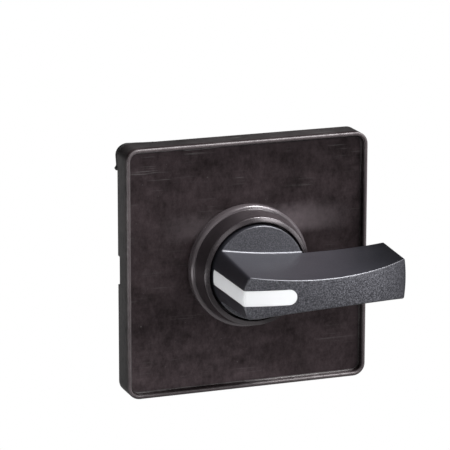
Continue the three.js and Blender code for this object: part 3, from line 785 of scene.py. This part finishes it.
def pointer_inlay():
    inlay = combine(grip_solid("pointer_inlay"), inlay_band(INLAY_WIDTH, INLAY_REAR), "INTERSECT")
    cut(inlay, grip_solid("under", inset=INLAY_THICKNESS, drop=INLAY_THICKNESS))
    return to_frame(inlay)


# Materials


SHADER_INPUTS = {
    "colour": "Base Color",
    "metallic": "Metallic",
    "roughness": "Roughness",
    "normal": "Normal",
    "specular_level": "Specular IOR Level",
    "specular_tint": "Specular Tint",
    "subsurface": "Subsurface Weight",
    "subsurface_radius": "Subsurface Radius",
    "subsurface_scale": "Subsurface Scale",
}


class Nodes:
    """Builds one node material a step at a time."""

    def __init__(self, name):
        self.material = bpy.data.materials.new(name)
        self.material.use_nodes = True
        self.tree = self.material.node_tree
        self.shader = self.tree.nodes["Principled BSDF"]
        self.coordinates = self.tree.nodes.new("ShaderNodeTexCoord").outputs["Object"]

    def add(self, kind, inputs=None, **settings):
        node = self.tree.nodes.new(kind)
        for key, value in settings.items():
            setattr(node, key, value)
        for key, value in (inputs or {}).items():
            self.feed(node.inputs[key], value)
        return node

    def feed(self, socket, value):
        if isinstance(value, bpy.types.NodeSocket):
            self.tree.links.new(value, socket)
        else:
            socket.default_value = value

    def noise(self, size_mm, detail=3.0, roughness=0.55, stretch=(1, 1, 1)):
        """Noise whose blobs are about size_mm across, stretched along the frame's axes."""
        scale = [1 / (size_mm * MM * s) for s in stretch]
        moved = self.add("ShaderNodeMapping", {"Vector": self.coordinates, "Scale": scale})
        inputs = {"Vector": moved.outputs["Vector"], "Scale": 1.0}
        inputs.update({"Detail": detail, "Roughness": roughness})
        return self.add("ShaderNodeTexNoise", inputs).outputs["Fac"]

    def remap(self, value, low, high, to_low, to_high):
        inputs = {0: value, 1: low, 2: high, 3: to_low, 4: to_high}
        return self.add("ShaderNodeMapRange", inputs).outputs["Result"]

    def mix(self, share, first, second):
        node = self.add("ShaderNodeMix", {"Factor": share}, data_type="RGBA")
        self.feed(node.inputs[6], first)
        self.feed(node.inputs[7], second)
        return node.outputs[2]

    def math(self, operation, first, second):
        return self.add("ShaderNodeMath", {0: first, 1: second}, operation=operation).outputs[0]

    def place(self):
        """The X, Y and Z sockets of a spot in the frame."""
        return self.add("ShaderNodeSeparateXYZ", {0: self.coordinates}).outputs

    def facing(self):
        """The X, Y and Z sockets of the surface's normal."""
        normal = self.add("ShaderNodeTexCoord").outputs["Normal"]
        return self.add("ShaderNodeSeparateXYZ", {0: normal}).outputs

    def look(self, **inputs):
        """Feeds the shader's inputs by the short names in SHADER_INPUTS."""
        for key, value in inputs.items():
            self.feed(self.shader.inputs[SHADER_INPUTS[key]], value)

    def bump(self, height, strength, distance_mm, normal=None):
        inputs = {"Height": height, "Strength": strength, "Distance": distance_mm * MM}
        if normal is not None:
            inputs["Normal"] = normal
        return self.add("ShaderNodeBump", inputs).outputs["Normal"]


def colour(red, green, blue):
    return (red, green, blue, 1.0)


def grey(level):
    return colour(level, level, level)


def painted_reflection_band(m, across, height, cloud):
    """How strong the painted reflection is on a spot: a level band, strong on the right and fainter on
    the left.
    """
    waviness = -3 * MM
    low_edge, high_edge = (4.6 * MM, 6.6 * MM), (9.4 * MM, 13 * MM)
    right_end, left_end = (27 * MM, 13 * MM), (-22 * MM, -13 * MM)
    left_strength = 0.45
    wavy = m.math("ADD", height, m.math("MULTIPLY", cloud, waviness))
    above = m.remap(wavy, *low_edge, 0, 1)
    below = m.remap(wavy, *high_edge, 1, 0)
    right_half = m.remap(across, -1 * MM, 1 * MM, 0, 1)
    left_half = m.remap(across, 1 * MM, -1 * MM, 0, 1)
    right = m.math("MINIMUM", m.remap(across, *right_end, 0, 1), right_half)
    left = m.math("MULTIPLY", m.remap(across, *left_end, 0, left_strength), left_half)
    return m.math("MULTIPLY", m.math("MULTIPLY", above, below), m.math("MAXIMUM", right, left))


def scuffs(m, height):
    """Level hairline scratches, mostly near the top, and specks of dust in patches."""
    streaks = m.noise(0.4, detail=2, stretch=(30, 1, 0.6))
    worn = m.remap(m.noise(9, detail=1), 0.5, 0.6, 0, 1)
    near_top = m.remap(height, 19 * MM, 26 * MM, 0.25, 1)
    scratched = m.math("MULTIPLY", worn, near_top)
    scratches = m.math("MULTIPLY", m.remap(streaks, 0.62, 0.69, 0, 1), scratched)
    dusty = m.remap(m.noise(4, detail=1, stretch=(1, 1, 0.7)), 0.57, 0.64, 0, 0.8)
    specks = m.math("MULTIPLY", m.remap(m.noise(0.5, detail=0), 0.79, 0.82, 0, 1), dusty)
    return m.math("MAXIMUM", scratches, specks)


def plate_tint(m, cloud):
    """The plate's clouded colour under a painted reflection and its scuffs, lighter on the rim and
    down the skirt.
    """
    painted_reflection_strength, scuff_strength = 0.17, 0.2
    place = m.place()
    depth, height = place["Y"], place["Z"]
    dark, light = colour(0.0042, 0.0021, 0.0023), colour(0.0112, 0.007, 0.0078)
    painted_reflection_colour, dust = colour(0.36, 0.31, 0.33), grey(0.4)
    # Painted reflection: a lighter level band mixed into the plate's colour
    band = painted_reflection_band(m, place["X"], height, cloud)
    tint = m.mix(m.remap(cloud, 0.35, 0.65, 0, 1), dark, light)
    tint = m.mix(m.math("MULTIPLY", band, painted_reflection_strength), tint, painted_reflection_colour)
    tint = m.mix(m.math("MULTIPLY", scuffs(m, height), scuff_strength), tint, dust)
    on_rim = m.remap(depth, RIM_Y + 0.55 * MM, RIM_Y + 0.2 * MM, 0, 1)
    tint = m.mix(on_rim, tint, colour(0.055, 0.047, 0.049))
    on_skirt = m.remap(depth, RIM_Y + 1.4 * MM, RIM_Y + 1.7 * MM, 0, 0.5)
    return m.mix(on_skirt, tint, grey(0.02))


def plate_material():
    """Semi-gloss moulded black with a brown cast, clouded and rubbed, with a painted reflection as a
    light band across it.
    """
    m = Nodes("plate_black")
    cloud = m.noise(7, detail=4, roughness=0.65, stretch=(1.4, 1, 0.8))
    mottle = m.noise(1.3, detail=3, roughness=0.7, stretch=(1, 1, 1.5))
    flat = m.remap(m.facing()["Y"], -0.97, -0.995, 0, 1)
    patches = m.remap(mottle, 0.3, 0.7, 0.27, 0.65)
    rough = m.remap(cloud, 0.3, 0.75, 0.32, 0.4)
    slow = m.bump(m.noise(11, detail=2), 0.2, 0.25)
    m.look(
        colour=plate_tint(m, cloud),
        specular_tint=m.mix(flat, colour(0.85, 0.81, 0.82), colour(1, 0.77, 0.84)),
        specular_level=m.math("ADD", patches, m.remap(cloud, 0.3, 0.7, -0.14, 0.14)),
        roughness=m.math("ADD", rough, m.remap(flat, 0, 1, 0.1, 0)),
        normal=m.bump(m.noise(0.35, detail=2), 0.12, 0.02, slow),
    )
    return m.material


def moulded(name, dark, light, roughness=0.5, grain_mm=0.3, grain_strength=0.1):
    """Moulded plastic with slow colour drift and a fine spark-eroded grain."""
    m = Nodes(name)
    drift = m.remap(m.noise(8, detail=3), 0.3, 0.7, 0, 1)
    grain = m.noise(grain_mm, detail=2, roughness=0.7)
    m.look(
        colour=m.mix(drift, dark, light),
        roughness=m.remap(grain, 0.25, 0.75, roughness - 0.07, roughness + 0.07),
        normal=m.bump(grain, grain_strength, 0.05),
    )
    return m


def bezel_material():
    """Satin warm grey, with a painted highlight: lighter colour on the shoulder and behind it."""
    m = Nodes("bezel_grey")
    drift = m.remap(m.noise(6, detail=4), 0.35, 0.65, 0, 1)
    tint = m.mix(drift, colour(0.0125, 0.0102, 0.0113), colour(0.0185, 0.0155, 0.0168))
    # Painted highlight: the shoulder and what lies behind it get a lighter colour
    shoulder = m.remap(m.place()["Y"], RIM_Y - 1.35 * MM, RIM_Y - 1.05 * MM, 0, 1)
    grain = m.noise(0.22, detail=2, roughness=0.7)
    m.look(
        colour=m.mix(shoulder, tint, colour(0.05, 0.043, 0.046)),
        specular_tint=colour(1, 0.93, 0.97),
        roughness=m.remap(grain, 0.25, 0.75, 0.19, 0.27),
        normal=m.bump(grain, 0.06, 0.05),
    )
    return m.material


def handle_material():
    """Cool grey plastic whose forward-facing skin is coarsely spark-eroded with painted glints, and
    whose upward faces carry painted shade towards the tip.
    """
    m = Nodes("handle_grey")
    place, facing = m.place(), m.facing()
    painted_glint_strength = 0.19
    raised = m.remap(place["Y"], RIM_Y - 8 * MM, RIM_Y - 14 * MM, 0.65, 1)
    skin = m.math("MULTIPLY", m.remap(facing["Y"], -0.86, -0.95, 0, 1), raised)
    grain = m.noise(0.33, detail=2, roughness=0.75)
    # Painted glints: bright specks mixed into the colour of the forward-facing skin; the grain's bump
    # there is real
    painted_glints = m.math("MULTIPLY", m.remap(grain, 0.42, 0.68, 0, 1), skin)
    drift = m.remap(m.noise(8, detail=3), 0.3, 0.7, 0, 1)
    # Painted shade: towards the tip, upward-facing surfaces get a darker colour and a weaker
    # reflection
    along = m.remap(place["X"], 16 * MM, 30 * MM, 1, 0.3)
    shade = m.math("MAXIMUM", along, m.remap(facing["Z"], 0.6, 0.8, 1, 0))
    tint = m.mix(drift, colour(0.009, 0.009, 0.0121), colour(0.0125, 0.0125, 0.0162))
    tint = m.mix(shade, grey(0.002), tint)
    bump_strength = m.math("ADD", m.math("MULTIPLY", skin, 0.8), 0.15)
    m.look(
        colour=m.mix(m.math("MULTIPLY", painted_glints, painted_glint_strength), tint, colour(0.5, 0.5, 0.56)),
        specular_tint=colour(0.93, 0.93, 1),
        specular_level=m.math("MULTIPLY", shade, 0.72),
        roughness=m.remap(grain, 0.25, 0.75, 0.34, 0.45),
        normal=m.bump(grain, bump_strength, 0.045),
    )
    return m.material


def inlay_material():
    """Slightly translucent cool white plastic."""
    dark, light = colour(0.78, 0.79, 0.805), colour(0.81, 0.82, 0.835)
    m = moulded("inlay_white", dark, light, roughness=0.45, grain_strength=0.05)
    m.look(subsurface=0.5, subsurface_radius=(1, 1, 1), subsurface_scale=0.6 * MM)
    return m.material


def wheel_material():
    return moulded("wheel_white", colour(0.68, 0.66, 0.6), colour(0.74, 0.72, 0.66)).material


def cam_material():
    dark, light = colour(0.27, 0.03, 0.022), colour(0.33, 0.04, 0.03)
    return moulded("cam_red", dark, light, grain_strength=0.12).material


def block_material():
    dark, light = colour(0.075, 0.078, 0.082), colour(0.095, 0.098, 0.102)
    m = moulded("block_grey", dark, light, roughness=0.55, grain_mm=0.28, grain_strength=0.3)
    return m.material


def rubber_material():
    """Matt black rubber with a faint grey bloom."""
    m = Nodes("seal_rubber")
    bloom = m.remap(m.noise(3, detail=4), 0.45, 0.75, 0, 1)
    m.look(
        colour=m.mix(bloom, grey(0.006), grey(0.015)),
        specular_level=0.3,
        roughness=m.remap(bloom, 0, 1, 0.6, 0.8),
        normal=m.bump(m.noise(0.2, detail=3), 0.25, 0.03),
    )
    return m.material


def metal(name, dark, light, roughness, brushed=(1, 1, 1)):
    """Plated or stamped metal with faint brushing and tarnish."""
    m = Nodes(name)
    tarnish = m.remap(m.noise(2.5, detail=4), 0.35, 0.7, 0, 1)
    lines = m.noise(0.12, detail=2, stretch=brushed)
    m.look(
        colour=m.mix(tarnish, light, dark),
        metallic=1.0,
        roughness=m.remap(lines, 0.2, 0.8, roughness - 0.08, roughness + 0.1),
        normal=m.bump(lines, 0.15, 0.01),
    )
    return m.material


def zinc_material():
    return metal("zinc_steel", colour(0.45, 0.46, 0.48), colour(0.66, 0.67, 0.69), 0.34)


def spring_material():
    dark, light = colour(0.3, 0.3, 0.32), colour(0.48, 0.48, 0.5)
    return metal("spring_steel", dark, light, 0.3, brushed=(8, 1, 1))


def brass_material():
    dark, light = colour(0.42, 0.27, 0.09), colour(0.68, 0.48, 0.2)
    return metal("contact_brass", dark, light, 0.3, brushed=(1, 1, 8))


def all_materials():
    """One material for each slot, by the slot's name."""
    return {
        "plate_black": plate_material(),
        "bezel_grey": bezel_material(),
        "handle_grey": handle_material(),
        "inlay_white": inlay_material(),
        "wheel_white": wheel_material(),
        "cam_red": cam_material(),
        "block_grey": block_material(),
        "seal_rubber": rubber_material(),
        "zinc_steel": zinc_material(),
        "spring_steel": spring_material(),
        "contact_brass": brass_material(),
    }


# Assembly


def finish_piece(piece, body, slot, materials, node):
    """Gives a drawn piece its material and body, in place of the CAD node it replaces."""
    piece.data.materials.clear()
    piece.data.materials.append(materials[slot])
    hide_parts(node)
    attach(piece, body)


# Widths in millimetres of the soft edges on the CAD nodes, by material slot
EDGE_WIDTHS = {
    "block_grey": 0.25,
    "zinc_steel": 0.08,
    "contact_brass": 0.06,
    "cam_red": 0.1,
    "wheel_white": 0.1,
}


def dress_cad_nodes(materials):
    """Gives each CAD node its slot's material and, where it helps, soft edges."""
    for part in frame["record"]["subparts"]:
        node = frame["nodes"][part["node"]]
        slot = part["material_slot"]
        for holder in node.material_slots:
            holder.material = materials[slot]
        if slot in EDGE_WIDTHS:
            weld = node.modifiers.new("weld", "WELD")
            weld.merge_threshold = 0.001 * MM
            bevel = node.modifiers.new("edges", "BEVEL")
            bevel.width = EDGE_WIDTHS[slot] * MM
            bevel.segments = 2
            bevel.limit_method = "ANGLE"
            bevel.angle_limit = math.radians(40)


def build_pieces(materials):
    finish_piece(front_plate_shell(), "base", "plate_black", materials, "front_plate")
    finish_piece(plate_seal(), "base", "seal_rubber", materials, "plate_gasket")
    finish_piece(bezel_and_collar(), "base", "bezel_grey", materials, "bezel_collar")
    finish_piece(lever_handle(), "handle_rotor", "handle_grey", materials, "handle")
    finish_piece(pointer_inlay(), "handle_rotor", "inlay_white", materials, "indicator_inlay")


# Studio

FLOOR_HALF, FLOOR_GAP = 3.0, 0.0002
FLOOR_GLOW = 0.35
ROOM_GLOW = 0.0
CAMERA_LENS, SENSOR_WIDTH = 236.78, 36
CAMERA_AZIMUTH, CAMERA_ELEVATION, CAMERA_ROLL = -20.256, 14.471, -0.077
CAMERA_PLACE = Vector((-0.23731, RIM_Y - 0.62688, 0.18282))

# Each light's place in metres from the rim's centre, its size and its power
LIGHTS = {
    "over_right": ((0.36, -0.1, 0.73), (0.24, 0.24), 14.5),
    "over_front": ((0.18, -0.32, 0.68), (0.3, 0.3), 2.3),
    "high_right": ((0.52, -0.22, 0.58), (0.2, 0.2), 4.5),
    "front_right_up": ((0.45, -0.65, 0.37), (0.3, 0.3), 4.0),
    "right_front": ((0.7, -0.5, 0.12), (0.3, 0.25), 1.2),
    "front": ((-0.05, -0.85, 0.2), (0.3, 0.3), 0.68),
    "left_soft": ((-0.6, -0.35, 0.3), (0.5, 0.5), 0.5),
}

# Lights just above the floor that shine straight up, given in the same way
POOLS = {
    "pool_back": ((0, 0.08, -0.029), (0.05, 0.03), 0.045),
    "pool_left": ((-0.13, -0.03, -0.029), (0.12, 0.08), 0.15),
    "pool_corner": ((-0.1, -0.1, -0.029), (0.1, 0.1), 0.11),
    "pool_under": ((-0.02, -0.015, -0.029), (0.06, 0.03), 0.0036),
}


def pale(name, seen, lit):
    """A surface that looks white to the camera and glows only softly on the object."""
    m = Nodes(name)
    path = m.add("ShaderNodeLightPath")
    level = m.remap(path.outputs["Is Camera Ray"], 0, 1, lit, seen)
    glow = m.add("ShaderNodeEmission", {"Color": grey(1), "Strength": level})
    m.tree.links.new(glow.outputs[0], m.tree.nodes["Material Output"].inputs["Surface"])
    return m.material


def make_floor():
    corners = [(-1, -1), (1, -1), (1, 1), (-1, 1)]
    height = PLATE_LOW.z - FLOOR_GAP
    points = [(FLOOR_HALF * x, FLOOR_HALF * y, height) for x, y in corners]
    floor = from_faces("studio_floor", points, [(0, 1, 2, 3)])
    floor.data.materials.append(pale("floor_white", 1.0, FLOOR_GLOW))


def make_world():
    """A background that the camera sees as white and that doesn't light the object."""
    world = bpy.data.worlds.new("studio")
    world.use_nodes = True
    bpy.context.scene.world = world
    tree = world.node_tree
    background = tree.nodes["Background"]
    background.inputs["Color"].default_value = grey(1)
    path = tree.nodes.new("ShaderNodeLightPath")
    level = tree.nodes.new("ShaderNodeMapRange")
    tree.links.new(path.outputs["Is Camera Ray"], level.inputs[0])
    level.inputs[3].default_value = ROOM_GLOW
    level.inputs[4].default_value = 1.0
    tree.links.new(level.outputs["Result"], background.inputs["Strength"])


def area_light(name, place, aim, size, power):
    light = bpy.data.lights.new(name, "AREA")
    light.shape = "RECTANGLE"
    light.size, light.size_y = size
    light.energy = power
    lamp = bpy.data.objects.new(name, light)
    bpy.context.scene.collection.objects.link(lamp)
    lamp.location = place
    lamp.visible_camera = False
    lamp.rotation_euler = (Vector(aim) - Vector(place)).to_track_quat("-Z", "Y").to_euler()


def make_lights():
    for name, (place, size, power) in LIGHTS.items():
        area_light(name, from_rim(place), from_rim((0, 0, 0)), size, power)
    for name, (place, size, power) in POOLS.items():
        x, y, _ = from_rim(place)
        area_light(name, from_rim(place), (x, y, 1), size, power)


def from_rim(place):
    x, y, z = place
    return (x, RIM_Y + y, z)


def make_camera():
    """The studio camera: a long lens up and to the left of the switch's axis."""
    azimuth, elevation = math.radians(CAMERA_AZIMUTH), math.radians(CAMERA_ELEVATION)
    roll = math.radians(CAMERA_ROLL)
    back = Vector(
        (
            math.sin(azimuth) * math.cos(elevation),
            -math.cos(azimuth) * math.cos(elevation),
            math.sin(elevation),
        )
    )
    right = Vector((math.cos(azimuth), math.sin(azimuth), 0))
    up = back.cross(right)
    turned_right = math.cos(roll) * right - math.sin(roll) * up
    turned_up = math.sin(roll) * right + math.cos(roll) * up
    camera_data = bpy.data.cameras.new("studio_camera")
    camera_data.lens = CAMERA_LENS
    camera_data.sensor_width = SENSOR_WIDTH
    camera_data.clip_start = 0.01
    camera = bpy.data.objects.new("studio_camera", camera_data)
    bpy.context.scene.collection.objects.link(camera)
    turn = Matrix((turned_right, turned_up, back)).transposed()
    camera.matrix_world = Matrix.Translation(CAMERA_PLACE) @ turn.to_4x4()
    bpy.context.scene.camera = camera


MATERIALS = all_materials()
build_pieces(MATERIALS)
dress_cad_nodes(MATERIALS)
make_floor()
make_world()
make_lights()
make_camera()
bpy.context.scene.view_settings.view_transform = "Standard"
